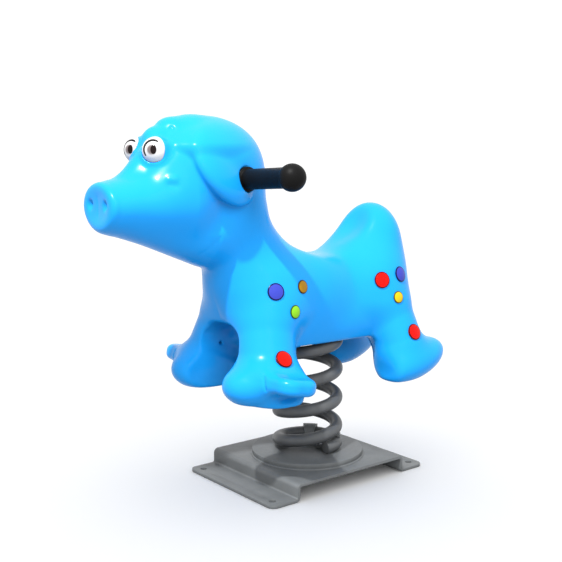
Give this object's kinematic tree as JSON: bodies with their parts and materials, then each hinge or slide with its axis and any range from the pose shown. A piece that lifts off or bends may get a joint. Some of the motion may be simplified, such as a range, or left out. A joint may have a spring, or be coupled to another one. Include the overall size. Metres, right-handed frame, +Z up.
{
  "type": "spring rider",
  "caption": "Playground spring rider: moulded animal with seat, footrests and handle on a coil spring clamped to a folded ground plate; it rocks fore and aft and sideways.",
  "frame": {"origin": "on the ground under the spring axis, at the centre of the four anchor holes", "axes": "+X forward to the snout, +Y to the animal's left, +Z up"},
  "size_m": [0.7765, 0.498, 0.7474],
  "materials": {
    "plate_paint": "satin grey powder coat",
    "spring_paint": "satin dark grey powder coat",
    "zinc_steel": "zinc plated",
    "insert_brass": "plain",
    "shell_blue": "glossy sky blue, coloured through",
    "grip_black": "satin black",
    "eye_white": "glossy white",
    "eye_dark": "glossy black",
    "eye_brown": "glossy dark brown",
    "cap_red": "glossy red",
    "cap_purple": "glossy violet blue",
    "cap_gold": "glossy ochre",
    "cap_green": "glossy lime",
    "cap_yellow": "glossy yellow"
  },
  "bodies": {
    "base": {"base_plate": "plate_paint", "base_disc": "plate_paint", "lower_clamps": "plate_paint", "lower_clamp_bolts": "zinc_steel", "lower_clamp_washers": "zinc_steel", "lower_clamp_nuts": "zinc_steel"},
    "spring": {"spring": "spring_paint"},
    "rider": {"top_plate": "plate_paint", "upper_clamps": "plate_paint", "upper_clamp_bolts": "zinc_steel", "upper_clamp_washers": "zinc_steel", "upper_clamp_nuts": "zinc_steel", "body_bolts": "zinc_steel", "body_washers": "zinc_steel", "body_inserts": "insert_brass", "body_shell": "shell_blue", "handle_tube": "zinc_steel", "left_grip": "grip_black", "right_grip": "grip_black", "eye_whites": "eye_white", "eye_rings": "eye_dark", "eye_pupils": "eye_brown", "red_caps": "cap_red", "purple_caps": "cap_purple", "gold_caps": "cap_gold", "green_caps": "cap_green", "yellow_caps": "cap_yellow"}
  },
  "joints": [
    {"name": "rock_fore_aft", "type": "hinge", "parent": "base", "child": "spring", "pos_m": [0, 0, 0.112], "axis": [0, 1, 0], "range_deg": [-20, 20], "stiffness_Nm_per_rad": 900, "deforming": ["spring"]},
    {"name": "rock_sideways", "type": "hinge", "parent": "spring", "child": "rider", "pos_m": [0, 0, 0.239], "axis": [1, 0, 0], "range_deg": [-15, 15], "stiffness_Nm_per_rad": 900, "deforming": ["spring"]}
  ]
}
